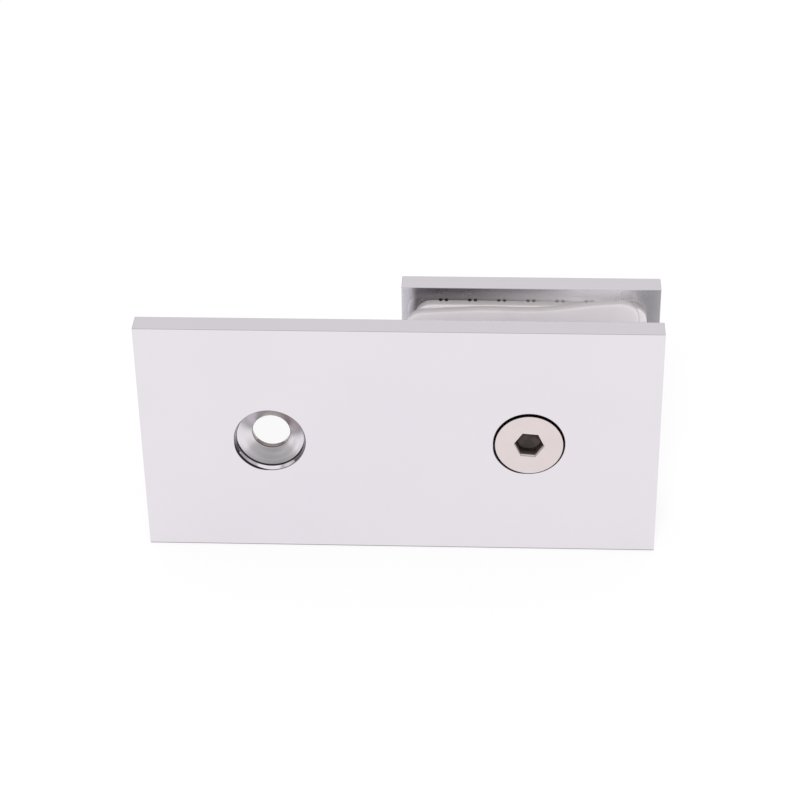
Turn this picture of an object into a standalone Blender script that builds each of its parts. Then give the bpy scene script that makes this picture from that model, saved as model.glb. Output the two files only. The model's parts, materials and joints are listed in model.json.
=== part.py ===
"""Square glass clamp for a frameless panel.

A long front plate is screwed flat to a wall through its free hole.  A square back plate is
drawn towards the other half of it by one countersunk socket screw, and the glass is held
between the two, with a soft gasket on each side.

The front plate lies in the XZ plane and faces -Y.  X runs along its length, Z is up, and
both plates stand on Z = 0.  Depths below are measured behind the front plate's face.
"""

import math

import bmesh
import bpy

MM = 0.001

# Plates
PLATE_LENGTH = 90.0 * MM
PLATE_HEIGHT = 45.0 * MM
FRONT_PLATE_THICKNESS = 4.0 * MM
BACK_PLATE_WIDTH = 45.0 * MM
BACK_PLATE_THICKNESS = 4.0 * MM
EDGE_ROUNDING = 0.2 * MM
EDGE_SEGMENTS = 3
HOLE_INSET = 22.5 * MM

# Countersunk holes through the front plate: a steep rim wall, a cone and a bore
RIM_CLEARANCE = 0.3 * MM
RIM_DEPTH = 1.1 * MM
RIM_TAPER = 0.25 * MM
COUNTERSINK_ANGLE = math.radians(110.0)
BORE_CLEARANCE = 0.3 * MM

# Screw, with a flat countersunk head and a hexagon socket; its head stands out while it is slack
THREAD_DIAMETER = 6.0 * MM
SCREW_LENGTH = 22.0 * MM
HEAD_DIAMETER = 11.75 * MM
HEAD_LAND = 0.15 * MM
HEAD_EDGE_ROUNDING = 0.1 * MM
HEAD_CONE_ANGLE = math.radians(90.0)
HEAD_STAND_OUT = 0.4 * MM
TIP_CHAMFER = 0.6 * MM
SOCKET_ACROSS_FLATS = 4.2 * MM
SOCKET_DEPTH = 2.2 * MM
SOCKET_MOUTH_CHAMFER = 0.15 * MM
SOCKET_POINT_ANGLE = math.radians(120.0)
SOCKET_TURN = math.radians(5.0)

# Tapped hole through the back plate
TAPPED_HOLE_CLEARANCE = 0.3 * MM
TAPPED_HOLE_CHAMFER = 0.4 * MM

# Gaskets
GASKET_THICKNESS = 1.3 * MM
GASKET_MARGIN = 2.4 * MM
GASKET_CORNER_RADIUS = 3.0 * MM
GASKET_HOLE_CLEARANCE = 1.5 * MM
GASKET_SEAT_GAP = 0.3 * MM
FRONT_GASKET_TURN = math.radians(3.6)
FRONT_GASKET_SHIFT = -0.4 * MM
FRONT_GASKET_RISE = 0.5 * MM
GROOVE_PAIR_PITCH = 5.05 * MM
GROOVE_PAIR_SPACING = 1.0 * MM
GROOVE_RADIUS = 0.3 * MM
GROOVE_AXIS_DEPTH = 0.15 * MM

# Room left for the glass, between the front plate and the gaskets
GLASS_GAP = 7.5 * MM

# Fineness of the round shapes
ROUND_STEPS = 48
GROOVE_STEPS = 12
CORNER_STEPS = 8
SHARP_ANGLE = math.radians(20.0)

# Room that a cutter takes past the face that it cuts
CUTTER_REACH = 1.0 * MM

# Distances behind the front plate's face
front_gasket_depth = FRONT_PLATE_THICKNESS + GLASS_GAP
rear_gasket_depth = front_gasket_depth + GASKET_THICKNESS + GASKET_SEAT_GAP
back_plate_depth = rear_gasket_depth + GASKET_THICKNESS + GASKET_SEAT_GAP
back_plate_end = back_plate_depth + BACK_PLATE_THICKNESS

# The countersink, sized from the screw that goes through it
rim_radius = HEAD_DIAMETER / 2 + RIM_CLEARANCE
cone_top_radius = rim_radius - RIM_TAPER
bore_radius = THREAD_DIAMETER / 2 + BORE_CLEARANCE
cone_end_depth = RIM_DEPTH + (cone_top_radius - bore_radius) / math.tan(COUNTERSINK_ANGLE / 2)

# The screw, from its head's face to its tip
head_face_depth = -HEAD_STAND_OUT
head_cone_start = head_face_depth + HEAD_LAND
head_cone_end = head_cone_start + (HEAD_DIAMETER - THREAD_DIAMETER) / 2 / math.tan(HEAD_CONE_ANGLE / 2)
screw_tip_depth = head_face_depth + SCREW_LENGTH

# The origin lies under the middle of the whole clamp
nearest_depth = min(0.0, head_face_depth)
farthest_depth = max(back_plate_end, screw_tip_depth)
front_face_y = -(nearest_depth + farthest_depth) / 2
hole_height = PLATE_HEIGHT / 2
screw_x = PLATE_LENGTH / 2 - HOLE_INSET
wall_hole_x = -screw_x

CHROME = (0.80, 0.79, 0.82)
STAINLESS = (0.72, 0.69, 0.67)
SOFT_WHITE = (0.82, 0.80, 0.79)


def clear_scene():
    for obj in list(bpy.data.objects):
        bpy.data.objects.remove(obj, do_unlink=True)


def new_collection(name):
    collection = bpy.data.collections.new(name)
    bpy.context.scene.collection.children.link(collection)
    return collection


def new_material(name, colour, metallic, roughness):
    material = bpy.data.materials.new(name)
    material.use_nodes = True
    shader = material.node_tree.nodes["Principled BSDF"]
    shader.inputs["Base Color"].default_value = (*colour, 1.0)
    shader.inputs["Metallic"].default_value = metallic
    shader.inputs["Roughness"].default_value = roughness
    return material


def new_object(name, mesh, collection):
    obj = bpy.data.objects.new(name, mesh)
    collection.objects.link(obj)
    return obj


def new_axis(name, location, collection):
    """An empty that holds the pieces of one moving body."""
    empty = bpy.data.objects.new(name, None)
    empty.empty_display_size = THREAD_DIAMETER
    empty.location = location
    collection.objects.link(empty)
    return empty


def make_cutter(obj):
    obj.hide_render = True
    obj.display_type = "WIRE"
    return obj


def turned(name, profile, collection, steps=ROUND_STEPS):
    """Turns a profile of (radius, height) points, from its top to its bottom, about Z."""
    mesh = bpy.data.meshes.new(name)
    points = [(radius, 0.0, height) for radius, height in profile]
    edges = [(i, i + 1) for i in range(len(points) - 1)]
    mesh.from_pydata(points, edges, [])
    obj = new_object(name, mesh, collection)
    turn = obj.modifiers.new("Turn", "SCREW")
    turn.axis = "Z"
    turn.angle = math.tau
    turn.steps = steps
    turn.render_steps = steps
    turn.use_merge_vertices = True
    turn.merge_threshold = 0.00001
    return obj


def cut(obj, cutter):
    boolean = obj.modifiers.new("Cut " + cutter.name, "BOOLEAN")
    boolean.operation = "DIFFERENCE"
    boolean.solver = "EXACT"
    boolean.object = cutter


def settle(obj):
    """Applies the modifiers, then shades the solid smooth between its real edges."""
    bpy.context.view_layer.update()
    graph = bpy.context.evaluated_depsgraph_get()
    mesh = bpy.data.meshes.new_from_object(obj.evaluated_get(graph))
    obj.modifiers.clear()
    obj.data = mesh
    mesh.shade_smooth()
    mesh.set_sharp_from_angle(angle=SHARP_ANGLE)


def plate(name, length, thickness, collection):
    """A flat plate round its own middle, with every outer edge finely rounded."""
    mesh = bpy.data.meshes.new(name)
    shape = bmesh.new()
    bmesh.ops.create_cube(shape, size=1.0)
    bmesh.ops.scale(shape, vec=(length, thickness, PLATE_HEIGHT), verts=shape.verts)
    shape.to_mesh(mesh)
    shape.free()
    obj = new_object(name, mesh, collection)
    rounding = obj.modifiers.new("Edge rounding", "BEVEL")
    rounding.width = EDGE_ROUNDING
    rounding.segments = EDGE_SEGMENTS
    return obj


def rounded_rectangle(width, height, radius):
    """The outline of a rectangle with round corners, counter-clockwise from the lower right."""
    points = []
    corners = ((1, -1, -90), (1, 1, 0), (-1, 1, 90), (-1, -1, 180))
    for side, level, start in corners:
        centre_x = side * (width / 2 - radius)
        centre_y = level * (height / 2 - radius)
        for step in range(CORNER_STEPS + 1):
            angle = math.radians(start + 90 * step / CORNER_STEPS)
            points.append((centre_x + radius * math.cos(angle), centre_y + radius * math.sin(angle)))
    return points


def circle(radius, steps):
    angles = [math.tau * step / steps for step in range(steps)]
    return [(radius * math.cos(angle), radius * math.sin(angle)) for angle in angles]


def flat_sheet(name, outlines, thickness, collection):
    """A sheet from closed outlines, each inside the one before being a hole, as a solid mesh."""
    curve = bpy.data.curves.new(name, "CURVE")
    curve.dimensions = "2D"
    curve.fill_mode = "BOTH"
    curve.extrude = thickness / 2
    for outline in outlines:
        spline = curve.splines.new("POLY")
        spline.points.add(len(outline) - 1)
        for point, (x, y) in zip(spline.points, outline):
            point.co = (x, y, 0.0, 1.0)
        spline.use_cyclic_u = True
    drawn = new_object(name + "_outline", curve, collection)
    drawn.rotation_euler.x = math.radians(90.0)
    bpy.context.view_layer.update()
    graph = bpy.context.evaluated_depsgraph_get()
    mesh = bpy.data.meshes.new_from_object(drawn.evaluated_get(graph))
    shape = bmesh.new()
    shape.from_mesh(mesh)
    bmesh.ops.remove_doubles(shape, verts=shape.verts, dist=0.00001)
    bmesh.ops.recalc_face_normals(shape, faces=shape.faces)
    shape.to_mesh(mesh)
    shape.free()
    obj = new_object(name, mesh, collection)
    obj.matrix_world = drawn.matrix_world
    bpy.data.objects.remove(drawn, do_unlink=True)
    return obj


def countersink_cutter(name, x, collection):
    """The hole's own shape, from in front of the plate to behind it."""
    exit_depth = FRONT_PLATE_THICKNESS + CUTTER_REACH
    profile = [
        (0.0, CUTTER_REACH),
        (rim_radius, CUTTER_REACH),
        (rim_radius, 0.0),
        (cone_top_radius, -RIM_DEPTH),
        (bore_radius, -cone_end_depth),
        (bore_radius, -exit_depth),
        (0.0, -exit_depth),
    ]
    cutter = make_cutter(turned(name, profile, collection))
    cutter.location = (x, front_face_y, hole_height)
    cutter.rotation_euler.x = math.radians(90.0)
    return cutter


def tapped_hole_cutter(name, collection):
    """A bore that clears the thread, with a small chamfer at both faces."""
    radius = THREAD_DIAMETER / 2 + TAPPED_HOLE_CLEARANCE
    half = BACK_PLATE_THICKNESS / 2
    end = half + CUTTER_REACH
    mouth_radius = radius + TAPPED_HOLE_CHAMFER
    profile = [
        (0.0, end),
        (mouth_radius, end),
        (mouth_radius, half),
        (radius, half - TAPPED_HOLE_CHAMFER),
        (radius, -half + TAPPED_HOLE_CHAMFER),
        (mouth_radius, -half),
        (mouth_radius, -end),
        (0.0, -end),
    ]
    cutter = make_cutter(turned(name, profile, collection))
    cutter.location = (screw_x, front_face_y + back_plate_depth + half, hole_height)
    cutter.rotation_euler.x = math.radians(90.0)
    return cutter


def make_front_plate(parts, cutters, material):
    obj = plate("front_plate", PLATE_LENGTH, FRONT_PLATE_THICKNESS, parts)
    obj.location = (0.0, front_face_y + FRONT_PLATE_THICKNESS / 2, hole_height)
    cut(obj, countersink_cutter("wall_hole_cutter", wall_hole_x, cutters))
    cut(obj, countersink_cutter("screw_hole_cutter", screw_x, cutters))
    obj.data.materials.append(material)
    settle(obj)
    return obj


def make_back_plate(parts, cutters, material):
    obj = plate("back_plate", BACK_PLATE_WIDTH, BACK_PLATE_THICKNESS, parts)
    obj.location = (screw_x, front_face_y + back_plate_depth + BACK_PLATE_THICKNESS / 2, hole_height)
    cut(obj, tapped_hole_cutter("tapped_hole_cutter", cutters))
    obj.data.materials.append(material)
    settle(obj)
    return obj


def groove_cutter(name, width, height, collection):
    """Pairs of upright round channels across a gasket, as many as fit between its corners."""
    reach = width / 2 - GASKET_CORNER_RADIUS
    pairs_each_side = int(reach // GROOVE_PAIR_PITCH)
    mesh = bpy.data.meshes.new(name)
    shape = bmesh.new()
    for pair in range(-pairs_each_side, pairs_each_side + 1):
        for side in (-0.5, 0.5):
            channel = bmesh.ops.create_cone(
                shape,
                cap_ends=True,
                segments=GROOVE_STEPS,
                radius1=GROOVE_RADIUS,
                radius2=GROOVE_RADIUS,
                depth=height + 2 * CUTTER_REACH,
            )
            shift = (pair * GROOVE_PAIR_PITCH + side * GROOVE_PAIR_SPACING, 0.0, 0.0)
            bmesh.ops.translate(shape, vec=shift, verts=channel["verts"])
    shape.to_mesh(mesh)
    shape.free()
    return make_cutter(new_object(name, mesh, collection))


def make_gasket(name, depth, parts, material):
    width = BACK_PLATE_WIDTH - 2 * GASKET_MARGIN
    height = PLATE_HEIGHT - 2 * GASKET_MARGIN
    outlines = [
        rounded_rectangle(width, height, GASKET_CORNER_RADIUS),
        circle(THREAD_DIAMETER / 2 + GASKET_HOLE_CLEARANCE, ROUND_STEPS),
    ]
    obj = flat_sheet(name, outlines, GASKET_THICKNESS, parts)
    obj.location = (screw_x, front_face_y + depth + GASKET_THICKNESS / 2, hole_height)
    obj.data.materials.append(material)
    return obj


def make_rear_gasket(parts, cutters, material):
    """The gasket on the back plate, with its channelled side against the plate."""
    obj = make_gasket("rear_gasket", rear_gasket_depth, parts, material)
    width = BACK_PLATE_WIDTH - 2 * GASKET_MARGIN
    height = PLATE_HEIGHT - 2 * GASKET_MARGIN
    channels = groove_cutter("gasket_channel_cutter", width, height, cutters)
    channel_depth = rear_gasket_depth + GASKET_THICKNESS - GROOVE_AXIS_DEPTH
    channels.location = (screw_x, front_face_y + channel_depth, hole_height)
    cut(obj, channels)
    settle(obj)
    return obj


def make_front_gasket(parts, material):
    """The loose gasket, round the screw against the other one and a little askew."""
    obj = make_gasket("front_gasket", front_gasket_depth, parts, material)
    obj.location.x += FRONT_GASKET_SHIFT
    obj.location.z += FRONT_GASKET_RISE
    obj.rotation_euler.y = -FRONT_GASKET_TURN
    settle(obj)
    return obj


def socket_cutter(name, collection):
    """A hexagon with a chamfered mouth, and a drill point under it."""
    corner_radius = SOCKET_ACROSS_FLATS / 2 / math.cos(math.radians(30.0))
    mouth_radius = (SOCKET_ACROSS_FLATS / 2 + SOCKET_MOUTH_CHAMFER) / math.cos(math.radians(30.0))
    point_radius = SOCKET_ACROSS_FLATS / 2
    point_height = point_radius / math.tan(SOCKET_POINT_ANGLE / 2)
    hexagon = [
        (0.0, CUTTER_REACH),
        (mouth_radius, CUTTER_REACH),
        (mouth_radius, 0.0),
        (corner_radius, -SOCKET_MOUTH_CHAMFER),
        (corner_radius, -SOCKET_DEPTH),
        (0.0, -SOCKET_DEPTH),
    ]
    point = [
        (0.0, -SOCKET_DEPTH / 2),
        (point_radius, -SOCKET_DEPTH / 2),
        (point_radius, -SOCKET_DEPTH),
        (0.0, -SOCKET_DEPTH - point_height),
    ]
    hexagon_cutter = make_cutter(turned(name, hexagon, collection, steps=6))
    point_cutter = make_cutter(turned(name + "_point", point, collection))
    for cutter in (hexagon_cutter, point_cutter):
        cutter.location = (screw_x, front_face_y + head_face_depth, hole_height)
        cutter.rotation_euler.x = math.radians(90.0)
    hexagon_cutter.rotation_euler.y = SOCKET_TURN
    return hexagon_cutter, point_cutter


def make_clamp_screw(parts, cutters, material):
    """Its origin is on the screw's axis, in the plane of the front plate's face."""
    head_radius = HEAD_DIAMETER / 2
    thread_radius = THREAD_DIAMETER / 2
    profile = [
        (0.0, -head_face_depth),
        (head_radius - HEAD_EDGE_ROUNDING, -head_face_depth),
        (head_radius, -head_face_depth - HEAD_EDGE_ROUNDING),
        (head_radius, -head_cone_start),
        (thread_radius, -head_cone_end),
        (thread_radius, -screw_tip_depth + TIP_CHAMFER),
        (thread_radius - TIP_CHAMFER, -screw_tip_depth),
        (0.0, -screw_tip_depth),
    ]
    obj = turned("clamp_screw", profile, parts)
    obj.location = (screw_x, front_face_y, hole_height)
    obj.rotation_euler.x = math.radians(90.0)
    for cutter in socket_cutter("socket_cutter", cutters):
        cut(obj, cutter)
    obj.data.materials.append(material)
    settle(obj)
    return obj


def carry(axis, pieces):
    """Parents pieces to their body's empty without moving them."""
    bpy.context.view_layer.update()
    for piece in pieces:
        piece.parent = axis
        piece.matrix_parent_inverse = axis.matrix_world.inverted()


def main():
    clear_scene()
    parts = new_collection("glass_clamp")
    cutters = new_collection("cutters")
    chrome = new_material("polished_chrome", CHROME, metallic=1.0, roughness=0.06)
    stainless = new_material("stainless_screw", STAINLESS, metallic=1.0, roughness=0.22)
    soft_white = new_material("white_gasket", SOFT_WHITE, metallic=0.0, roughness=0.5)

    make_front_plate(parts, cutters, chrome)
    back_plate = make_back_plate(parts, cutters, chrome)
    rear_gasket = make_rear_gasket(parts, cutters, soft_white)
    front_gasket = make_front_gasket(parts, soft_white)
    make_clamp_screw(parts, cutters, stainless)

    slide = new_axis("back_side", (screw_x, front_face_y + back_plate_depth, hole_height), parts)
    carry(slide, (back_plate, rear_gasket, front_gasket))


main()
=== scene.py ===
"""Looks of the glass clamp: mirror-polished plates, a satin socket screw and soft white gaskets.

Everything is in metres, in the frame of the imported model: X along the front plate, Y from its face
towards the wall and the back plate, Z up.
"""

import json
import math

import bmesh
import bpy
from mathutils import Matrix, Vector, noise


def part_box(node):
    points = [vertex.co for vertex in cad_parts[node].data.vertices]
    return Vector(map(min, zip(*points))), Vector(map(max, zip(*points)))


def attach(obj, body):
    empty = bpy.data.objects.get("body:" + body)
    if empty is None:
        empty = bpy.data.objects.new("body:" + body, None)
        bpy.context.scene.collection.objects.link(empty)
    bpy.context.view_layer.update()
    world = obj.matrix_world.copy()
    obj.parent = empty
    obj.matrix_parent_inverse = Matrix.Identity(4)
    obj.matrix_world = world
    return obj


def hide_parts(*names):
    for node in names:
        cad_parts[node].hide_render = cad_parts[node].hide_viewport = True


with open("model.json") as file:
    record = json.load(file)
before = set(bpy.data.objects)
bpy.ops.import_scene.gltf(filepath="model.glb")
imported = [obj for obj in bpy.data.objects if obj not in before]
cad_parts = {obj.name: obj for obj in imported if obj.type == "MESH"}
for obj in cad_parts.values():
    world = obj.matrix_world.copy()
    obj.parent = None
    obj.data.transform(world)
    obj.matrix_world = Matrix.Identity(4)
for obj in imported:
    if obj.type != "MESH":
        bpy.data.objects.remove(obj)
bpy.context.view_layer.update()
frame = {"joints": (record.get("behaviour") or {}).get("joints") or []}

MM = 0.001

# Camera, fitted to the edges and hole rims of the photographed clamp
CAMERA_AZIMUTH = math.radians(3.10)
CAMERA_ELEVATION = math.radians(33.158)
CAMERA_ROLL = math.radians(-0.951)
CAMERA_DISTANCE = 400.0 * MM
CAMERA_AIM_X = 0.275 * MM
CAMERA_AIM_Z = 31.277 * MM
CAMERA_LENS = 105.08
CAMERA_SENSOR = 36.0

# Plates
EDGE_ROUNDING = 0.16 * MM
EDGE_SEGMENTS = 5
RIM_RADIUS = 6.175 * MM
RIM_DEPTH = 1.1 * MM
RIM_TAPER = 0.25 * MM
COUNTERSINK_ANGLE = math.radians(110.0)
BORE_RADIUS = 3.3 * MM
HOLE_EDGE_SOFTNESS = 0.07 * MM
HOLE_STEPS = 160
TAPPED_CLEARANCE = 0.05 * MM
TAPPED_MOUTH_RADIUS = 3.6 * MM

# Screw
HEAD_RADIUS = 5.875 * MM
HEAD_FACE_RADIUS = 0.6 * HEAD_RADIUS
HEAD_LAND = 0.15 * MM
HEAD_EDGE_SOFTNESS = 0.1 * MM
HEXAGON_HALF_STEP = math.radians(30.0)
SOCKET_ACROSS_FLATS = 4.2 * MM
SOCKET_DEPTH = 2.2 * MM
SOCKET_MOUTH_WIDTH = 0.18 * MM
SOCKET_MOUTH_DEPTH = 0.31 * MM
SOCKET_EDGE_SOFTNESS = 0.06 * MM
DRILL_POINT_ANGLE = math.radians(120.0)
DRILL_SHARE_OF_FLATS = 0.99
DRILL_STEPS = 48
SOCKET_TURN = math.radians(5.0)
THREAD_RADIUS = 3.0 * MM
THREAD_PITCH = 1.0 * MM
THREAD_ROOT_RADIUS = 2.387 * MM
SHANK_RADIUS = 2.7 * MM
THREAD_RUN_OUT = 1.2 * MM
TIP_CHAMFER = 0.6 * MM
SCREW_STEPS = 96

# One pitch of the thread: place along it and share of the depth, from root to crest and back
THREAD_SECTION = (
    (0.0, 0.0),
    (0.06, 0.03),
    (0.11, 0.12),
    (0.27, 0.55),
    (0.43, 0.97),
    (0.47, 1.0),
    (0.53, 1.0),
    (0.57, 0.97),
    (0.73, 0.55),
    (0.89, 0.12),
    (0.94, 0.03),
)

# Gaskets
GASKET_CORNER_RADIUS = 3.0 * MM
GASKET_HOLE_RADIUS = 4.5 * MM
REAR_GASKET_SOFTNESS = 0.22 * MM
FRONT_GASKET_SOFTNESS = 0.55 * MM
GASKET_BACK_SOFTNESS = 0.08 * MM
GASKET_CONTACT_GAP = 0.03 * MM
GASKET_STATIONS = 240
GASKET_RINGS = 24
GASKET_EDGE_STEPS = 5
GROOVE_PAIR_PITCH = 5.05 * MM
GROOVE_PAIR_SPACING = 1.0 * MM
GROOVE_PAIRS = 7
GROOVE_RADIUS = 0.3 * MM
GROOVE_AXIS_DEPTH = 0.15 * MM
GROOVE_STEPS = 20

# How the loose gasket lies; its sag's place and reach are shares of half its side
FRONT_GASKET_TURN = math.radians(3.6)
FRONT_GASKET_SAG = 0.65 * MM
FRONT_GASKET_SAG_PLACE = 0.1
FRONT_GASKET_SAG_REACH = 0.6
FRONT_GASKET_WAVE = 0.07 * MM
FRONT_GASKET_WAVE_LENGTH = 7.0 * MM

# Meshes
SHARP_ANGLE = math.radians(24.0)
REAR_GASKET_SHARP_ANGLE = math.radians(35.0)
FRONT_GASKET_SHARP_ANGLE = math.radians(60.0)
SOFTENING_STEPS = 4
SOFTENING_SHARE = 0.45
FLAT_FACE_WEIGHT = 100
MERGE_DISTANCE = 0.001 * MM

# How far a cutter stands out of what it cuts
CUTTER_REACH = 1.0 * MM

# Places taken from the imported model
front_low, front_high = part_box("front_plate")
back_low, back_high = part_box("back_plate")
front_gasket_low, front_gasket_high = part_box("front_gasket")
rear_gasket_low, rear_gasket_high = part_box("rear_gasket")
screw_low, screw_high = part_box("clamp_screw")
screw_joint = next(joint for joint in frame["joints"] if joint["name"] == "clamp_screw_turn")
screw_x, _, hole_z = screw_joint["pos_m"]
wall_hole_x = -screw_x
gasket_side = rear_gasket_high.x - rear_gasket_low.x
front_gasket_middle = (front_gasket_low + front_gasket_high) / 2
cone_top_radius = RIM_RADIUS - RIM_TAPER
cone_end_depth = RIM_DEPTH + (cone_top_radius - BORE_RADIUS) / math.tan(COUNTERSINK_ANGLE / 2)
head_cone_start = screw_low.y + HEAD_LAND
thread_start = head_cone_start + HEAD_RADIUS - SHANK_RADIUS
thread_depth = THREAD_RADIUS - THREAD_ROOT_RADIUS


# Helpers for meshes

def link(obj):
    bpy.context.scene.collection.objects.link(obj)
    return obj


def object_from_bmesh(name, shape):
    mesh = bpy.data.meshes.new(name)
    shape.to_mesh(mesh)
    shape.free()
    return link(bpy.data.objects.new(name, mesh))


def apply_modifiers(obj):
    """Swaps the mesh for what its modifiers make of it."""
    bpy.context.view_layer.update()
    graph = bpy.context.evaluated_depsgraph_get()
    mesh = bpy.data.meshes.new_from_object(obj.evaluated_get(graph))
    obj.modifiers.clear()
    obj.data = mesh


def shade(obj, angle=SHARP_ANGLE, weighted=False):
    """Smooth between the real edges; weighted keeps large flat faces perfectly flat."""
    obj.data.shade_smooth()
    obj.data.set_sharp_from_angle(angle=angle)
    if weighted:
        normals = obj.modifiers.new("Flat faces stay flat", "WEIGHTED_NORMAL")
        normals.weight = FLAT_FACE_WEIGHT
        normals.keep_sharp = True


def cut(obj, *cutters):
    """Takes the cutters out of obj, and deletes them."""
    for cutter in cutters:
        boolean = obj.modifiers.new("Cut", "BOOLEAN")
        boolean.operation = "DIFFERENCE"
        boolean.solver = "EXACT"
        boolean.object = cutter
    apply_modifiers(obj)
    for cutter in cutters:
        bpy.data.objects.remove(cutter, do_unlink=True)


def soften(points, reach):
    """Rounds a profile's inner corners: each becomes a short curve that starts reach before it.

    On a short side it starts within SOFTENING_SHARE of that side, so that no two curves meet.
    """
    soft = [points[0]]
    for before, corner, after in zip(points, points[1:], points[2:]):
        corner = Vector(corner)
        into = Vector(before) - corner
        out = Vector(after) - corner
        start = corner + into.normalized() * min(reach, into.length * SOFTENING_SHARE)
        end = corner + out.normalized() * min(reach, out.length * SOFTENING_SHARE)
        for step in range(SOFTENING_STEPS + 1):
            t = step / SOFTENING_STEPS
            soft.append(tuple(start * (1 - t) ** 2 + corner * 2 * t * (1 - t) + end * t**2))
    soft.append(points[-1])
    return soft


def turned_rings(shape, profile, x, z, steps, turn=0.0):
    """For each (radius, y) of a profile, a ring about an axis along Y; radius 0 gives one point."""
    rings = []
    for radius, y in profile:
        angles = [turn + math.tau * step / steps for step in range(steps if radius else 1)]
        places = [(x + radius * math.sin(a), y, z + radius * math.cos(a)) for a in angles]
        rings.append([shape.verts.new(place) for place in places])
    return rings


def join_rings(shape, rings, steps):
    for first, second in zip(rings, rings[1:]):
        for step in range(steps):
            after = (step + 1) % steps
            corners = [first[step % len(first)], first[after % len(first)]]
            corners += [second[after % len(second)], second[step % len(second)]]
            shape.faces.new(list(dict.fromkeys(corners)))


def turned(name, profile, x, z, steps=HOLE_STEPS, turn=0.0):
    """Turns a profile of (radius, y) points about an axis along Y, as a closed mesh."""
    shape = bmesh.new()
    join_rings(shape, turned_rings(shape, profile, x, z, steps, turn), steps)
    bmesh.ops.recalc_face_normals(shape, faces=shape.faces)
    return object_from_bmesh(name, shape)


# Helpers for materials

# What a noise texture mostly keeps to
NOISE_LOW, NOISE_HIGH = 0.3, 0.7


def new_material(name):
    material = bpy.data.materials.new(name)
    material.use_nodes = True
    return material, material.node_tree


def feed(tree, socket, value):
    """Gives an input socket a plain value, or what another node puts out."""
    if isinstance(value, bpy.types.NodeSocket):
        tree.links.new(value, socket)
    elif socket.type == "RGBA":
        socket.default_value = (*value, 1.0)
    else:
        socket.default_value = value


def add_node(tree, kind, inputs=None, **settings):
    """A node with its settings, and with what goes into its input sockets."""
    node = tree.nodes.new(kind)
    for key, value in settings.items():
        setattr(node, key, value)
    for key, value in (inputs or {}).items():
        feed(tree, node.inputs[key], value)
    return node


def set_finish(tree, inputs):
    """What goes into the sockets of the material's own shader."""
    for key, value in inputs.items():
        feed(tree, tree.nodes["Principled BSDF"].inputs[key], value)


def object_position(tree, scale=(1.0, 1.0, 1.0), shift=(0.0, 0.0, 0.0)):
    """The point on the piece in metres, moved and stretched for a texture."""
    place = add_node(tree, "ShaderNodeTexCoord").outputs["Object"]
    inputs = {"Vector": place, "Location": shift, "Scale": scale}
    return add_node(tree, "ShaderNodeMapping", inputs, vector_type="POINT").outputs["Vector"]


def place_on_piece(tree):
    """The point's X, Y and Z on the piece."""
    place = add_node(tree, "ShaderNodeTexCoord").outputs["Object"]
    return add_node(tree, "ShaderNodeSeparateXYZ", {0: place}).outputs


def noise_value(tree, place, scale, detail=3.0, roughness=0.5):
    inputs = {"Vector": place, "Scale": scale, "Detail": detail, "Roughness": roughness}
    return add_node(tree, "ShaderNodeTexNoise", inputs).outputs["Fac"]


def spread(tree, value, low, high):
    """A noise's usual range, stretched over low to high."""
    inputs = {
        "Value": value,
        "From Min": NOISE_LOW,
        "From Max": NOISE_HIGH,
        "To Min": low,
        "To Max": high,
    }
    return add_node(tree, "ShaderNodeMapRange", inputs).outputs["Result"]


def fade(tree, value, start, end):
    """0 before start and 1 after end, or the other way round where end is the smaller."""
    inputs = {
        "Value": value,
        "From Min": min(start, end),
        "From Max": max(start, end),
        "To Min": float(end < start),
        "To Max": float(end > start),
    }
    node = add_node(tree, "ShaderNodeMapRange", inputs, interpolation_type="SMOOTHSTEP")
    return node.outputs["Result"]


def calculate(tree, operation, *values):
    """A Math node on sockets and plain numbers."""
    inputs = dict(enumerate(values))
    return add_node(tree, "ShaderNodeMath", inputs, operation=operation).outputs[0]


def times(tree, first, *others):
    for value in others:
        first = calculate(tree, "MULTIPLY", first, value)
    return first


def plus(tree, first, *others):
    for value in others:
        first = calculate(tree, "ADD", first, value)
    return first


def minus(tree, first, second):
    return calculate(tree, "SUBTRACT", first, second)


def length_of(tree, across, up):
    """How long the way is that goes so far across and so far up."""
    return calculate(tree, "SQRT", plus(tree, times(tree, across, across), times(tree, up, up)))


def mixed(tree, factor, first, second):
    """Two colours blended; each is a socket or a plain colour."""
    # The node has a set of sockets for each type of value: 6 and 7 in and 2 out are the colours
    inputs = {0: factor, 6: first, 7: second}
    return add_node(tree, "ShaderNodeMix", inputs, data_type="RGBA").outputs[2]


def bump(tree, height, depth, under=None):
    inputs = {"Height": height, "Distance": depth, "Strength": 1.0}
    if under is not None:
        inputs["Normal"] = under
    return add_node(tree, "ShaderNodeBump", inputs).outputs["Normal"]


# Finishes: colours are linear, and each pair runs from a noise's low values to its high ones

CHROME_TONES = (0.782, 0.743, 0.792), (0.797, 0.758, 0.805)
CHROME_ROUGHNESS = 0.035, 0.075

# The back plate's inner face, by the distance from its left edge: a polished strip with a painted
# reflection, then satin with painted shade and light, lightest and dullest well to the right
STRIP_END = 1.2 * MM
SATIN_START = 2.8 * MM
PAINTED_SHADE_END = 6.0 * MM
PAINTED_LIGHT_PEAK = 36.0 * MM
PAINTED_LIGHT_END = 47.0 * MM
SATIN_SKIN = 0.05 * MM
SATIN_SHADE_TONES = (0.35, 0.34, 0.36), (0.95, 0.93, 0.96)
SATIN_BLOTCHES = -0.1, 0.1
SATIN_ROUGHNESS = 0.22
SATIN_DULLNESS = 0.40
# Painted reflection: the light colour of the strip along the inner face's left edge
STRIP_REFLECTION_COLOUR = (0.93, 0.92, 0.97)
STRIP_DULLNESS = 0.25
FRONT_SATIN_COLOUR = (0.66, 0.645, 0.67)

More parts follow.
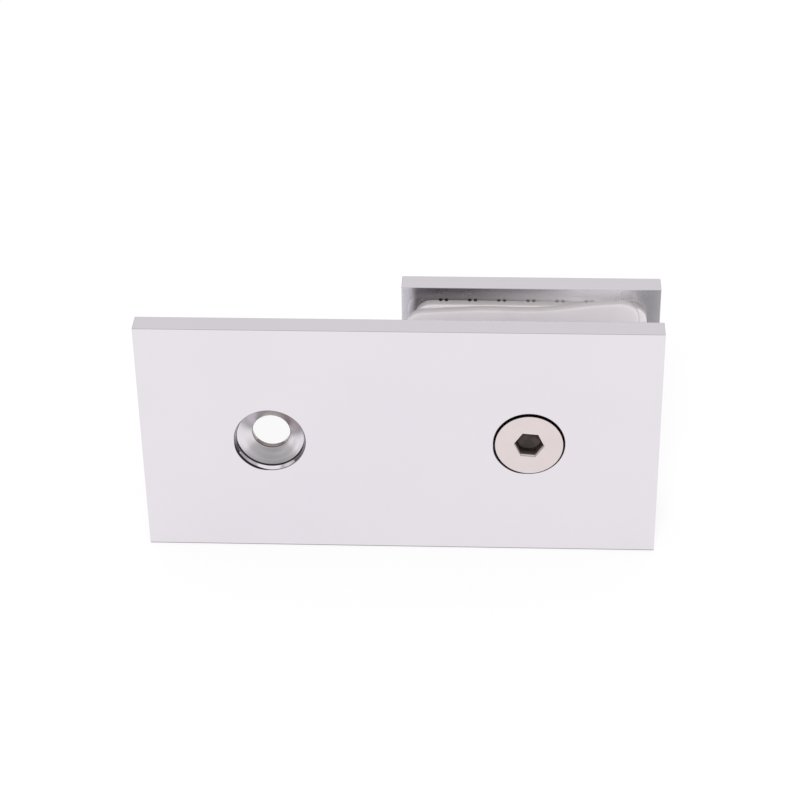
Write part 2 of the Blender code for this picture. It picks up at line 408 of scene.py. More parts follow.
# The countersinks. A side is a direction from the hole's middle (across, up), and the lean towards
# it where its mask starts and where it is full
MASK_EDGE = 0.1 * MM
# Painted shade: darker and brownish down the bores
BORE_SHADE_COLOUR = (0.34, 0.28, 0.27)
# Painted shade: darker and brownish at the cones' upper right
CONE_SHADE_SIDE = (0.45, 0.89), 0.42, 1.0
CONE_SHADE_COLOUR = (0.46, 0.40, 0.40)
# Turning rings with painted shade: grey on the cones' lower halves only
LOWER_HALF_SIDE = (0.0, 1.0), -0.1, -0.5
MARKS_AND_SHADE_COLOUR = (0.52, 0.50, 0.51)
MARKS_AND_SHADE_STRENGTH = 0.0, 0.6
MARKS_WANDER = 0.12
CONE_ROUGHNESS = 0.17
# Painted shade: dark lines along the holes' edges, strongest at the lower left
EDGE_SHADE_SIDE = (1.0, 1.0), -1.0, -1.38
EDGE_SHADE_COLOUR = (0.035, 0.032, 0.034)
EDGE_SHADE_CORE = 0.3
# Painted dark reflection along the plate's lower front edge
LOWER_EDGE_SHADE_COLOUR = (0.13, 0.12, 0.13)

STEEL_TONES = (0.735, 0.655, 0.650), (0.760, 0.680, 0.672)
STEEL_ROUGHNESS = 0.17, 0.27
# Painted shade: the socket and the head's side are painted dark
SOCKET_SHADE_TONES = (0.045, 0.040, 0.038), (0.110, 0.084, 0.070)
DARK_PART_ROUGHNESS = 0.16
DARK_PART_DULLNESS = 0.35
DARK_PART_START_FADE = 0.06 * MM
DARK_PART_END_FADE = 0.3 * MM
HEAD_BRIGHT_DEPTH = 0.4 * MM
SOCKET_ZONE_RADIUS = 0.5 * HEAD_RADIUS
SOCKET_ZONE_END = 0.55 * HEAD_RADIUS
# Painted light: lighter in the socket near its mouth
SOCKET_MOUTH_LIGHT_COLOUR = (0.26, 0.215, 0.195)
SOCKET_LIGHT_DEPTH = 0.8 * SOCKET_DEPTH

GASKET_TONES = (0.750, 0.712, 0.735), (0.785, 0.748, 0.765)
GASKET_ROUGHNESS = 0.40, 0.55
# Painted shade: what faces up is darker
GASKET_TOP_SHADE_COLOUR = (0.440, 0.418, 0.422)
GASKET_TOP_SHADE_FACING = 0.1, 0.9
GASKET_SUBSURFACE_WEIGHT = 0.15
GASKET_SUBSURFACE_RADIUS = (1.0, 0.85, 0.8)
GASKET_SUBSURFACE_SCALE = 0.4 * MM
GASKET_IOR = 1.45
# Painted shade that lines the gasket's channels
CHANNEL_SHADE_TONES = (0.035, 0.031, 0.031), (0.070, 0.064, 0.063)
CHANNEL_ROUGHNESS = 0.8


def chrome_grain(tree, place):
    """Very shallow waves and a polishing grain along X, as a surface to build on."""
    waves = noise_value(tree, place, scale=35.0, detail=1.0)
    grain_place = object_position(tree, scale=(60.0, 1500.0, 1500.0))
    grain = noise_value(tree, grain_place, scale=1.0, detail=2.0)
    surface = bump(tree, waves, depth=0.004 * MM)
    return bump(tree, grain, depth=0.00006 * MM, under=surface)


def chrome_tone(tree, place):
    tone = spread(tree, noise_value(tree, place, scale=45.0), 0.0, 1.0)
    return mixed(tree, tone, *CHROME_TONES)


def chrome_roughness(tree, place):
    smudges = noise_value(tree, place, scale=120.0, detail=4.0, roughness=0.6)
    return spread(tree, smudges, *CHROME_ROUGHNESS)


def make_back_chrome():
    """Bright chrome with a faint lilac cast; the side that faces the glass is satin.

    A strip along that side's left edge has a painted reflection; the satin beyond has painted shade
    and painted light, and is dullest to the right.
    """
    material, tree = new_material("back_chrome_finish")
    place = object_position(tree)
    x, y, _ = place_on_piece(tree)
    along = minus(tree, x, back_low.x)
    inside = fade(tree, y, back_low.y + SATIN_SKIN, back_low.y)
    satin = times(tree, inside, fade(tree, along, STRIP_END, SATIN_START))
    # Painted reflection: the strip along the left edge is painted light
    strip = minus(tree, inside, satin)
    # Painted light and shade: dark near the left, lightest well to the right
    light = times(
        tree,
        fade(tree, along, PAINTED_SHADE_END, PAINTED_LIGHT_PEAK),
        fade(tree, along, PAINTED_LIGHT_END, PAINTED_LIGHT_PEAK),
    )
    blotches = spread(tree, noise_value(tree, place, scale=80.0, detail=1.0), *SATIN_BLOTCHES)
    # The satin's colour: its painted shade and light, with random blotches
    grey = mixed(tree, plus(tree, light, blotches), *SATIN_SHADE_TONES)
    colour = mixed(tree, satin, chrome_tone(tree, place), grey)
    satin_dullness = times(tree, satin, light, SATIN_DULLNESS)
    strip_dullness = times(tree, strip, STRIP_DULLNESS)
    set_finish(tree, {
        "Base Color": mixed(tree, strip, colour, STRIP_REFLECTION_COLOUR),
        "Roughness": plus(tree, chrome_roughness(tree, place), times(tree, satin, SATIN_ROUGHNESS)),
        "Metallic": minus(tree, 1.0, plus(tree, satin_dullness, strip_dullness)),
        "Normal": chrome_grain(tree, place),
    })
    return material


def side_of_hole(tree, across, up, radius, side):
    """1 on one side of a hole and 0 on the other."""
    (right, rise), start, full = side
    lean = calculate(
        tree, "DIVIDE", plus(tree, times(tree, across, right), times(tree, up, rise)), radius
    )
    return fade(tree, lean, start, full)


def edge_line(tree, radius, depth, edge, half_width, widening):
    """1 on a fine line along a hole's edge, which lies at a (radius, depth), and 0 away from it."""
    away = length_of(tree, minus(tree, radius, edge[0]), minus(tree, depth, edge[1]))
    away = calculate(tree, "DIVIDE", away, widening)
    return fade(tree, away, half_width, half_width * EDGE_SHADE_CORE)


def make_front_chrome():
    """The same chrome on the front plate, whose back is plain satin.

    Its cones keep the rings left by turning, painted grey on their lower halves as painted shade.
    The bores and the cones' upper right are painted darker and brownish, as painted shade.
    Fine dark lines along each edge of a hole, strongest at the lower left, are painted shade,
    and the plate's own lower edge is painted dark, as a painted reflection.
    """
    material, tree = new_material("front_chrome_finish")
    place = object_position(tree)
    x, y, z = place_on_piece(tree)
    hole_x = times(tree, calculate(tree, "SIGN", x), screw_x)
    across, up = minus(tree, x, hole_x), minus(tree, z, hole_z)
    radius = length_of(tree, across, up)
    depth = minus(tree, y, front_low.y)
    upper_right, lower_left, low_down = (
        side_of_hole(tree, across, up, radius, side) for side in (CONE_SHADE_SIDE, EDGE_SHADE_SIDE, LOWER_HALF_SIDE)
    )
    cone = times(
        tree,
        fade(tree, radius, RIM_RADIUS + MASK_EDGE, RIM_RADIUS),
        fade(tree, depth, RIM_DEPTH, RIM_DEPTH + MASK_EDGE),
        fade(tree, depth, cone_end_depth + 3 * MASK_EDGE, cone_end_depth + MASK_EDGE),
    )
    bore = fade(tree, radius, BORE_RADIUS + MASK_EDGE, BORE_RADIUS + 0.3 * MASK_EDGE)
    # Painted dark reflection: where the plate's lower front edge is
    lower_edge_shade = times(
        tree,
        fade(tree, z, front_low.z + 1.4 * EDGE_ROUNDING, front_low.z + EDGE_ROUNDING),
        fade(tree, depth, 2 * EDGE_ROUNDING, EDGE_ROUNDING),
    )
    satin = fade(tree, y, front_high.y - SATIN_SKIN, front_high.y)

    # Painted shade down the bores and at the cones' upper right
    colour = mixed(tree, bore, chrome_tone(tree, place), BORE_SHADE_COLOUR)
    colour = mixed(tree, times(tree, cone, upper_right), colour, CONE_SHADE_COLOUR)
    # Turning rings, painted grey only on the cones' lower halves: painted shade
    marks_inputs = {0: radius, 1: times(tree, across, MARKS_WANDER)}
    marks_place = add_node(tree, "ShaderNodeCombineXYZ", marks_inputs).outputs[0]
    marks_and_shade = noise_value(tree, marks_place, scale=1500.0, detail=1.0)
    marks_and_shade = times(tree, spread(tree, marks_and_shade, *MARKS_AND_SHADE_STRENGTH), low_down, cone)
    colour = mixed(tree, marks_and_shade, colour, MARKS_AND_SHADE_COLOUR)
    uneven = noise_value(tree, place, scale=160.0, detail=2.0)
    # Painted shade: a dark line along each edge of the holes
    # An edge's (radius, depth), the line's half width, its least strength, where it is stronger
    # and wider, and by how much
    lines = (
        ((RIM_RADIUS, 0.0), 0.15 * MM, 0.65, lower_left, 1.3),
        ((cone_top_radius, RIM_DEPTH), 0.13 * MM, 0.65, low_down, 0.9),
        ((BORE_RADIUS, cone_end_depth), 0.14 * MM, 0.60, low_down, 0.0),
    )
    for edge, half_width, least, where, much in lines:
        more = times(tree, where, much)
        strength = plus(tree, spread(tree, uneven, least, 1.0), more)
        line = edge_line(tree, radius, depth, edge, half_width, plus(tree, more, 1.0))
        colour = mixed(tree, times(tree, line, strength), colour, EDGE_SHADE_COLOUR)
    colour = mixed(tree, lower_edge_shade, colour, LOWER_EDGE_SHADE_COLOUR)

    roughness = plus(
        tree,
        chrome_roughness(tree, place),
        times(tree, cone, CONE_ROUGHNESS),
        times(tree, satin, SATIN_ROUGHNESS),
    )
    turning_place = add_node(tree, "ShaderNodeCombineXYZ", {0: radius}).outputs[0]
    turning = times(tree, noise_value(tree, turning_place, scale=5000.0, detail=2.0), cone)
    set_finish(tree, {
        "Base Color": mixed(tree, satin, colour, FRONT_SATIN_COLOUR),
        "Roughness": roughness,
        "Metallic": 1.0,
        "Normal": bump(tree, turning, depth=0.002 * MM, under=chrome_grain(tree, place)),
    })
    return material


def make_stainless():
    """Satin stainless steel with fine turning rings; the socket and head's side have painted shade.
    """
    material, tree = new_material("stainless_screw_finish")
    place = object_position(tree)
    x, y, z = place_on_piece(tree)
    across, up = minus(tree, x, screw_x), minus(tree, z, hole_z)
    depth = minus(tree, y, screw_low.y)
    in_socket = fade(tree, length_of(tree, across, up), SOCKET_ZONE_END, SOCKET_ZONE_RADIUS)
    sooner = times(tree, in_socket, HEAD_BRIGHT_DEPTH - SOCKET_MOUTH_DEPTH)
    past_bright = minus(tree, depth, minus(tree, HEAD_BRIGHT_DEPTH, sooner))
    head_end = thread_start - screw_low.y
    # Painted shade: the socket and the head's side, dull and dark
    dark_part = times(
        tree,
        fade(tree, past_bright, 0.0, DARK_PART_START_FADE),
        fade(tree, depth, head_end + DARK_PART_END_FADE, head_end),
    )

    tone = spread(tree, noise_value(tree, place, scale=300.0), 0.0, 1.0)
    bright = mixed(tree, tone, *STEEL_TONES)
    blotches = spread(tree, noise_value(tree, place, scale=500.0), 0.0, 1.0)
    # Painted shade, uneven, in the socket and on the head's side
    dark = mixed(tree, blotches, *SOCKET_SHADE_TONES)
    # Painted light near the socket's mouth
    near_mouth = times(tree, in_socket, fade(tree, depth, SOCKET_LIGHT_DEPTH, SOCKET_MOUTH_DEPTH))
    dark = mixed(tree, near_mouth, dark, SOCKET_MOUTH_LIGHT_COLOUR)

    centred = object_position(tree, shift=(-screw_x, 0.0, -hole_z))
    rings_inputs = {
        "Vector": centred,
        "Scale": 1400.0,
        "Distortion": 1.5,
        "Detail": 2.0,
        "Detail Scale": 2.0,
    }
    rings = add_node(
        tree, "ShaderNodeTexWave", rings_inputs, wave_type="RINGS", rings_direction="Y"
    )
    satin = noise_value(tree, place, scale=900.0)
    surface = bump(tree, rings.outputs["Fac"], depth=0.0004 * MM)
    set_finish(tree, {
        "Base Color": mixed(tree, dark_part, bright, dark),
        "Roughness": plus(
            tree, spread(tree, satin, *STEEL_ROUGHNESS), times(tree, dark_part, DARK_PART_ROUGHNESS)
        ),
        "Metallic": minus(tree, 1.0, times(tree, dark_part, DARK_PART_DULLNESS)),
        "Normal": bump(tree, satin, depth=0.0008 * MM, under=surface),
    })
    return material


def make_soft_white():
    """Milky soft plastic with a fine moulded grain; what faces up is greyer, as painted shade."""
    material, tree = new_material("white_gasket_finish")
    place = object_position(tree)
    clouds = spread(tree, noise_value(tree, place, scale=90.0, detail=2.0), 0.0, 1.0)
    normal = add_node(tree, "ShaderNodeTexCoord").outputs["Normal"]
    upwards = add_node(tree, "ShaderNodeSeparateXYZ", {0: normal}).outputs[2]
    # Painted shade: darker where the surface faces up
    top_shade = fade(tree, upwards, *GASKET_TOP_SHADE_FACING)
    grain = noise_value(tree, place, scale=2600.0)
    unevenness = noise_value(tree, place, scale=160.0, detail=2.0)
    surface = bump(tree, unevenness, depth=0.05 * MM)
    set_finish(tree, {
        "Base Color": mixed(tree, top_shade, mixed(tree, clouds, *GASKET_TONES), GASKET_TOP_SHADE_COLOUR),
        "Roughness": spread(tree, grain, *GASKET_ROUGHNESS),
        "Subsurface Weight": GASKET_SUBSURFACE_WEIGHT,
        "Subsurface Radius": GASKET_SUBSURFACE_RADIUS,
        "Subsurface Scale": GASKET_SUBSURFACE_SCALE,
        "IOR": GASKET_IOR,
        "Normal": bump(tree, grain, depth=0.006 * MM, under=surface),
    })
    return material


def make_channel_shade():
    """Painted shade that lines the gasket's channels: dull, dark and a little uneven."""
    material, tree = new_material("gasket_channel_shade")
    specks = spread(tree, noise_value(tree, object_position(tree), scale=900.0), 0.0, 1.0)
    set_finish(tree, {
        "Base Color": mixed(tree, specks, *CHANNEL_SHADE_TONES),
        "Roughness": CHANNEL_ROUGHNESS,
    })
    return material


# Plates

def plate_blank(name, low, high):
    """A block between two corners, with every outer edge finely rounded."""
    shape = bmesh.new()
    bmesh.ops.create_cube(shape, size=1.0)
    bmesh.ops.scale(shape, vec=high - low, verts=shape.verts)
    bmesh.ops.translate(shape, vec=(low + high) / 2, verts=shape.verts)
    obj = object_from_bmesh(name, shape)
    rounding = obj.modifiers.new("Edge rounding", "BEVEL")
    rounding.width = EDGE_ROUNDING
    rounding.segments = EDGE_SEGMENTS
    return obj


def countersink_cutter(x):
    profile = [
        (RIM_RADIUS + CUTTER_REACH, front_low.y + HOLE_EDGE_SOFTNESS - CUTTER_REACH),
        (RIM_RADIUS, front_low.y + HOLE_EDGE_SOFTNESS),
        (cone_top_radius, front_low.y + RIM_DEPTH),
        (BORE_RADIUS, front_low.y + cone_end_depth),
        (BORE_RADIUS, front_high.y - HOLE_EDGE_SOFTNESS),
        (BORE_RADIUS + HOLE_EDGE_SOFTNESS + CUTTER_REACH, front_high.y + CUTTER_REACH),
    ]
    profile = soften(profile, HOLE_EDGE_SOFTNESS)
    closed = [(0.0, profile[0][1]), *profile, (0.0, profile[-1][1])]
    return turned("countersink_cutter", closed, x, hole_z)


def make_front_plate(material):
    obj = plate_blank("front_plate_polished", front_low, front_high)
    cut(obj, countersink_cutter(wall_hole_x), countersink_cutter(screw_x))
    shade(obj, weighted=True)
    obj.data.materials.append(material)
    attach(obj, "wall_side")
    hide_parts("front_plate")


def tapped_mouth_cutter(face, out):
    """The chamfer round one end of the tapped hole; out is the way out of the plate along Y."""
    inner = TAPPED_MOUTH_RADIUS - 2 * thread_depth
    outside = face + out * CUTTER_REACH
    inside = face - out * (TAPPED_MOUTH_RADIUS - inner)
    profile = [
        (0.0, outside),
        (TAPPED_MOUTH_RADIUS + CUTTER_REACH, outside),
        (inner, inside),
        (0.0, inside),
    ]
    return turned("mouth_cutter", profile, screw_x, hole_z)


def make_back_plate(material):
    obj = plate_blank("back_plate_polished", back_low, back_high)
    # The mouths come first, because the mesh stays closed only then
    mouths = tapped_mouth_cutter(back_low.y, -1), tapped_mouth_cutter(back_high.y, 1)
    cut(obj, *mouths, tap_cutter())
    shade(obj, weighted=True)
    obj.data.materials.append(material)
    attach(obj, "glass_side")
    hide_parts("back_plate")


# Screw

def smooth_step(value):
    t = min(1.0, max(0.0, value))
    return t * t * (3 - 2 * t)


def threaded_columns(start, end, radius_at):
    """For each step round the axis, the (radius, y) points down the thread between two ends."""
    turns = range(-1, math.ceil((end - start) / THREAD_PITCH) + 1)
    rows = [(turn + place, depth) for turn in turns for place, depth in THREAD_SECTION]
    columns = []
    for step in range(SCREW_STEPS):
        share = step / SCREW_STEPS
        column = []
        for place, depth in rows:
            y = start + (place + share) * THREAD_PITCH
            if start < y < end:
                column.append((radius_at(y, depth), y))
            else:
                # Every row beyond an end is one point of that end's plain ring
                y = start if y <= start else end
                column.append((radius_at(y, 0.0), y))
        columns.append(column)
    return columns


def place_columns(shape, columns):
    """The columns' points; equal points of a column share one vertex."""
    placed = []
    for step, column in enumerate(columns):
        angle = math.tau * step / len(columns)
        side, up = math.sin(angle), math.cos(angle)
        made = {
            point: shape.verts.new((screw_x + point[0] * side, point[1], hole_z + point[0] * up))
            for point in dict.fromkeys(column)
        }
        placed.append([made[point] for point in column])
    return placed


def helical_faces(shape, columns):
    """Joins the columns; the last meets the first one pitch further on."""
    count = len(columns[0])
    for step, here in enumerate(columns):
        there = columns[(step + 1) % len(columns)]
        offset = len(THREAD_SECTION) if step == len(columns) - 1 else 0
        for row in range(count - 1 - offset):
            corners = (here[row], there[row + offset], there[row + 1 + offset], here[row + 1])
            corners = list(dict.fromkeys(corners))
            if len(corners) > 2:
                shape.faces.new(corners)


def tap_radius(_, depth):
    """The tapped hole's radius by the share of the thread's depth, the same all along it."""
    return THREAD_ROOT_RADIUS + depth * thread_depth + TAPPED_CLEARANCE


def tap_cutter():
    """A rod with the screw's thread, a little fatter all round, that cuts the tapped hole."""
    # Whole pitches from the screw's own start, so that the threads lie in each other
    start = back_low.y - 2 * THREAD_PITCH
    start = thread_start + math.floor((start - thread_start) / THREAD_PITCH) * THREAD_PITCH
    end = back_high.y + 2 * THREAD_PITCH
    shape = bmesh.new()
    placed = place_columns(shape, threaded_columns(start, end, tap_radius))
    helical_faces(shape, placed)
    shape.faces.new([column[0] for column in placed])
    shape.faces.new([column[-1] for column in placed])
    bmesh.ops.recalc_face_normals(shape, faces=shape.faces)
    return object_from_bmesh("tap_cutter", shape)


def screw_radius(y, depth):
    """The thread's radius: it fades in below the head and is cut back by the tip's chamfer."""
    full = THREAD_ROOT_RADIUS + depth * thread_depth
    present = smooth_step((y - thread_start) / THREAD_RUN_OUT)
    radius = SHANK_RADIUS + present * (full - SHANK_RADIUS)
    chamfer = THREAD_RADIUS - TIP_CHAMFER + (screw_high.y - y)
    return min(radius, chamfer)


def socket_cutters():
    """The hexagon with its chamfered mouth, and the drill's point at its bottom."""
    face = screw_low.y
    bottom = face + SOCKET_DEPTH
    to_corner = 1 / math.cos(HEXAGON_HALF_STEP)
    half = SOCKET_ACROSS_FLATS / 2
    mouth = half + SOCKET_MOUTH_WIDTH
    chamfer = [
        ((mouth + CUTTER_REACH) * to_corner, face + SOCKET_EDGE_SOFTNESS - CUTTER_REACH),
        (mouth * to_corner, face + SOCKET_EDGE_SOFTNESS),
        (half * to_corner, face + SOCKET_MOUTH_DEPTH),
    ]
    chamfer = soften(chamfer, SOCKET_EDGE_SOFTNESS)
    hexagon = [(0.0, chamfer[0][1]), *chamfer, (half * to_corner, bottom), (0.0, bottom)]
    drill = half * DRILL_SHARE_OF_FLATS
    point = [
        (0.0, face + SOCKET_DEPTH / 2),
        (drill, face + SOCKET_DEPTH / 2),
        (drill, bottom),
        (0.0, bottom + half / math.tan(DRILL_POINT_ANGLE / 2)),
    ]
    turn = HEXAGON_HALF_STEP + SOCKET_TURN
    return (
        turned("socket_cutter", hexagon, screw_x, hole_z, steps=6, turn=turn),
        turned("socket_point_cutter", point, screw_x, hole_z, steps=DRILL_STEPS),
    )


def make_screw(material):
    """Countersunk head, hexagon socket and an M6 thread that fades in under the head."""
    # The flat face needs a point of its own before the edge, for the edge to be rounded
    head = [
        (HEAD_FACE_RADIUS, screw_low.y),
        (HEAD_RADIUS, screw_low.y),
        (HEAD_RADIUS, head_cone_start),
        (SHANK_RADIUS, thread_start),
    ]
    # The cone's last ring is the thread's first
    head = [(0.0, screw_low.y), *soften(head, HEAD_EDGE_SOFTNESS)[:-1]]
    shape = bmesh.new()
    placed = place_columns(shape, threaded_columns(thread_start, screw_high.y, screw_radius))
    helical_faces(shape, placed)
    rings = turned_rings(shape, head, screw_x, hole_z, SCREW_STEPS)
    join_rings(shape, [*rings, [column[0] for column in placed]], SCREW_STEPS)
    shape.faces.new([column[-1] for column in placed])
    bmesh.ops.recalc_face_normals(shape, faces=shape.faces)
    obj = object_from_bmesh("clamp_screw_detailed", shape)
    cut(obj, *socket_cutters())
    shade(obj, weighted=True)
    obj.data.materials.append(material)
    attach(obj, "screw")
    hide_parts("clamp_screw")


# Gaskets

def rounded_square_point(angle, side, radius):
    """The point of a rounded square's outline in a direction from its middle."""
    direction = Vector((math.cos(angle), math.sin(angle)))
    half = side / 2
    reach = half / max(abs(direction.x), abs(direction.y))
    point = direction * reach
    inner = half - radius
    if abs(point.x) > inner and abs(point.y) > inner:
        centre = Vector((math.copysign(inner, point.x), math.copysign(inner, point.y)))
        along = centre.dot(direction)
        reach = along + math.sqrt(max(0.0, along**2 - centre.length_squared + radius**2))
        point = direction * reach
    return point


def gasket_section(near, far, near_soft, far_soft):
    """Once round the sheet's section: (share of the way out, shift outwards, y)."""
    quarter = [
        math.radians(90.0 * step / GASKET_EDGE_STEPS) for step in range(GASKET_EDGE_STEPS + 1)
    ]
    shares = [ring / GASKET_RINGS for ring in range(GASKET_RINGS + 1)]
    section = [(share, near_soft * (1 - 2 * share), near) for share in shares]
    for angle in quarter[1:]:
        drop = near_soft * (1 - math.cos(angle))
        section.append((1.0, near_soft * (math.sin(angle) - 1), near + drop))
    for angle in quarter:
        drop = far_soft * (1 - math.sin(angle))
        section.append((1.0, far_soft * (math.cos(angle) - 1), far - drop))
    section += [(share, far_soft * (1 - 2 * share), far) for share in reversed(shares[:-1])]
    for angle in quarter[1:]:
        drop = far_soft * (1 - math.cos(angle))
        section.append((0.0, far_soft * (1 - math.sin(angle)), far - drop))
    for angle in quarter[:-1]:
        drop = near_soft * (1 - math.sin(angle))
        section.append((0.0, near_soft * (1 - math.cos(angle)), near + drop))
    return section


def make_gasket(name, middle, turn, section, material):
    """A soft square sheet with round corners, a hole for the screw and rounded edges."""
    shape = bmesh.new()
    loops = []
    for station in range(GASKET_STATIONS):
        angle = math.tau * station / GASKET_STATIONS
        outer = rounded_square_point(angle, gasket_side, GASKET_CORNER_RADIUS)
        direction = Vector((math.cos(angle), math.sin(angle)))
        inner = direction * GASKET_HOLE_RADIUS
        loop = []
        for share, shift, y in section:
            flat = inner.lerp(outer, share) + direction * shift
            x = flat.x * math.cos(turn) - flat.y * math.sin(turn)
            z = flat.x * math.sin(turn) + flat.y * math.cos(turn)
            loop.append(shape.verts.new((middle.x + x, y, middle.z + z)))
        loops.append(loop)
    for loop, other in zip(loops, [*loops[1:], loops[0]]):
        for row in range(len(loop)):
            after = (row + 1) % len(loop)
            shape.faces.new((loop[row], other[row], other[after], loop[after]))
    bmesh.ops.remove_doubles(shape, verts=shape.verts, dist=MERGE_DISTANCE)
    bmesh.ops.recalc_face_normals(shape, faces=shape.faces)
    obj = object_from_bmesh(name, shape)
    obj.data.materials.append(material)
    return obj


def groove_cutters(y, material):
    """Pairs of upright channels across the face that lies on the plate, lined with painted shade."""
    shape = bmesh.new()
    for pair in range(GROOVE_PAIRS):
        pair_middle = screw_x + (pair - (GROOVE_PAIRS - 1) / 2) * GROOVE_PAIR_PITCH
        for side in (-0.5, 0.5):
            channel = bmesh.ops.create_cone(
                shape,
                cap_ends=True,
                segments=GROOVE_STEPS,
                radius1=GROOVE_RADIUS,
                radius2=GROOVE_RADIUS,
                depth=gasket_side + 2 * CUTTER_REACH,
            )
            place = (pair_middle + side * GROOVE_PAIR_SPACING, y, hole_z)
            bmesh.ops.translate(shape, vec=place, verts=channel["verts"])
    obj = object_from_bmesh("groove_cutter", shape)
    obj.data.materials.append(material)
    return obj


def make_rear_gasket(material, channel_material):
    far = back_low.y - GASKET_CONTACT_GAP
    section = gasket_section(rear_gasket_low.y, far, REAR_GASKET_SOFTNESS, GASKET_BACK_SOFTNESS)
    middle = (rear_gasket_low + rear_gasket_high) / 2
    obj = make_gasket("rear_gasket_soft", middle, 0.0, section, material)
    obj.data.materials.append(channel_material)
    cut(obj, groove_cutters(far - GROOVE_AXIS_DEPTH, channel_material))
    shade(obj, angle=REAR_GASKET_SHARP_ANGLE)
    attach(obj, "glass_side")
    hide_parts("rear_gasket")


def relax(obj):
    """Lets the loose gasket's top edge sag between its corners, and its face lie unevenly."""
    half = gasket_side / 2
    for vertex in obj.data.vertices:
        along = (vertex.co.x - front_gasket_middle.x) / half
        height = max(0.0, (vertex.co.z - front_gasket_middle.z) / half)
        aside = min(1.0, abs(along - FRONT_GASKET_SAG_PLACE) / FRONT_GASKET_SAG_REACH)
        vertex.co.z -= FRONT_GASKET_SAG * height**2 * math.cos(math.pi / 2 * aside) ** 2
        if vertex.co.y < front_gasket_middle.y:
            swell = noise.noise(vertex.co / FRONT_GASKET_WAVE_LENGTH) + 1.0
            vertex.co.y += FRONT_GASKET_WAVE * swell / 2


def make_front_gasket(material):
    far = rear_gasket_low.y - GASKET_CONTACT_GAP
    section = gasket_section(
        front_gasket_low.y, far, FRONT_GASKET_SOFTNESS, FRONT_GASKET_SOFTNESS
    )
    obj = make_gasket(
        "front_gasket_soft", front_gasket_middle, FRONT_GASKET_TURN, section, material
    )
    relax(obj)
    shade(obj, angle=FRONT_GASKET_SHARP_ANGLE)
    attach(obj, "glass_side")
    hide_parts("front_gasket")


# Studio

FLOOR_RADIUS = 3.0
FLOOR_STEPS = 96
FLOOR_DROP = 0.1 * MM
FLOOR_GLOW = 0.8
FLOOR_WHITE = (0.2, 0.2, 0.2)
FLOOR_BOUNCE = (0.8, 0.8, 0.8)

# Lamps: strength, softness, and where they stand; azimuth 0 is in front, 90 degrees on the right
LAMPS = {
    "key": (0.4, 30.0, 30.0, 54.0),
    "fill": (1.6, 20.0, -8.0, 38.0),
}

# Brightness of the room by the sine of the height above the horizon, in front of the clamp and
# behind, and how far back the one turns into the other
FRONT_TONES = (
    (0.0, 0.76),
    (0.17, 0.60),
    (0.30, 0.57),
    (0.42, 0.54),
    (0.60, 0.48),
    (0.85, 0.35),
    (0.94, 0.70),
    (1.0, 1.0),
)
BEHIND_TONES = (
    (0.0, 0.50),
    (0.36, 0.62),
    (0.50, 0.80),
    (0.60, 0.80),
    (0.73, 0.55),
    (0.82, 1.0),
    (0.90, 1.0),
    (1.0, 0.85),
)
BEHIND_FADE = -0.35, 0.05


def tone_ramp(tree, height, tones):
    ramp = add_node(tree, "ShaderNodeValToRGB", {"Fac": height})
    elements = ramp.color_ramp.elements
    while len(elements) < len(tones):
        elements.new(0.5)
    for element, (place, tone) in zip(elements, tones):
        element.position = place
        element.color = (tone, tone, tone, 1.0)
    return ramp.outputs["Color"]


def make_room():
    """A grey room in front of the clamp and a bright wall behind it."""
    world = bpy.data.worlds.new("studio")
    bpy.context.scene.world = world
    world.use_nodes = True
    tree = world.node_tree
    direction = add_node(tree, "ShaderNodeTexCoord").outputs["Generated"]
    _, back, height = add_node(tree, "ShaderNodeSeparateXYZ", {0: direction}).outputs
    front, behind = (tone_ramp(tree, height, tones) for tones in (FRONT_TONES, BEHIND_TONES))
    room = mixed(tree, fade(tree, back, *BEHIND_FADE), front, behind)
    feed(tree, tree.nodes["Background"].inputs["Color"], room)


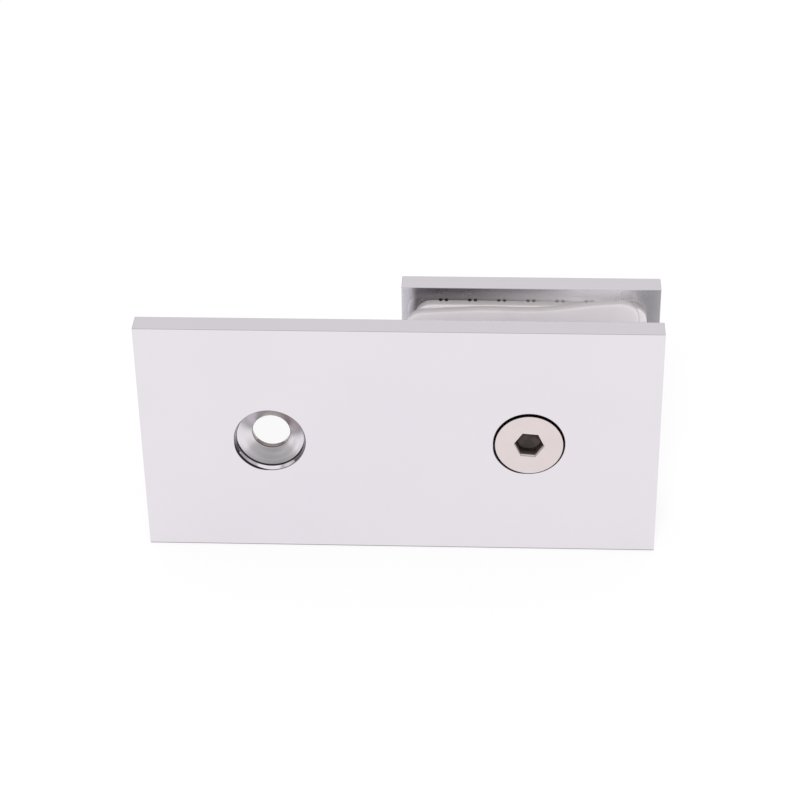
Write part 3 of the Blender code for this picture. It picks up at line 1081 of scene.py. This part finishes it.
def make_floor():
    """A white table that keeps a faint shadow, and is clear from below.

    What is seen of it glows almost white; the light that it throws on the clamp is plain.
    """
    shape = bmesh.new()
    bmesh.ops.create_circle(shape, cap_ends=True, segments=FLOOR_STEPS, radius=FLOOR_RADIUS)
    bmesh.ops.translate(shape, vec=(0.0, 0.0, -FLOOR_DROP), verts=shape.verts)
    floor = object_from_bmesh("floor", shape)

    material, tree = new_material("white_table")
    tree.nodes.clear()
    path = add_node(tree, "ShaderNodeLightPath").outputs
    seen = calculate(tree, "MAXIMUM", path["Is Camera Ray"], path["Is Glossy Ray"])
    seen = calculate(tree, "MAXIMUM", seen, path["Is Transmission Ray"])
    white = add_node(tree, "ShaderNodeBsdfDiffuse", {"Color": FLOOR_WHITE}).outputs[0]
    glow = add_node(tree, "ShaderNodeEmission", {"Strength": FLOOR_GLOW}).outputs[0]
    shown = add_node(tree, "ShaderNodeAddShader", {0: white, 1: glow}).outputs[0]
    bounce = add_node(tree, "ShaderNodeBsdfDiffuse", {"Color": FLOOR_BOUNCE}).outputs[0]
    above = add_node(tree, "ShaderNodeMixShader", {0: seen, 1: bounce, 2: shown}).outputs[0]
    clear = add_node(tree, "ShaderNodeBsdfTransparent").outputs[0]
    below = add_node(tree, "ShaderNodeNewGeometry").outputs["Backfacing"]
    surface = add_node(tree, "ShaderNodeMixShader", {0: below, 1: above, 2: clear}).outputs[0]
    add_node(tree, "ShaderNodeOutputMaterial", {"Surface": surface})
    floor.data.materials.append(material)


def direction_from(azimuth, elevation):
    """From the clamp towards a place round it; azimuth 0 is in front, 90 degrees on the right."""
    flat = math.cos(elevation)
    return Vector((math.sin(azimuth) * flat, -math.cos(azimuth) * flat, math.sin(elevation)))


def make_lamps():
    for name, (strength, softness, azimuth, elevation) in LAMPS.items():
        lamp = bpy.data.lights.new(name, "SUN")
        lamp.energy = strength
        lamp.angle = math.radians(softness)
        light = link(bpy.data.objects.new(name, lamp))
        towards = direction_from(math.radians(azimuth), math.radians(elevation))
        light.rotation_euler = towards.to_track_quat("Z", "Y").to_euler()
        light.visible_glossy = False


def make_camera():
    back = direction_from(CAMERA_AZIMUTH, CAMERA_ELEVATION)
    level = Vector((math.cos(CAMERA_AZIMUTH), math.sin(CAMERA_AZIMUTH), 0.0))
    rise = back.cross(level)
    turn, lean = math.cos(CAMERA_ROLL), math.sin(CAMERA_ROLL)
    right = level * turn + rise * lean
    up = rise * turn - level * lean
    aim = Vector((CAMERA_AIM_X, front_low.y, CAMERA_AIM_Z))
    data = bpy.data.cameras.new("camera")
    data.lens = CAMERA_LENS
    data.sensor_width = CAMERA_SENSOR
    camera = link(bpy.data.objects.new("camera", data))
    axes = Matrix((right, up, back)).transposed().to_4x4()
    camera.matrix_world = Matrix.Translation(aim + back * CAMERA_DISTANCE) @ axes
    bpy.context.scene.camera = camera


make_camera()
make_room()
make_floor()
make_lamps()

soft_white = make_soft_white()
make_front_plate(make_front_chrome())
make_back_plate(make_back_chrome())
make_screw(make_stainless())
make_rear_gasket(soft_white, make_channel_shade())
make_front_gasket(soft_white)

bpy.context.scene.view_settings.view_transform = "Standard"
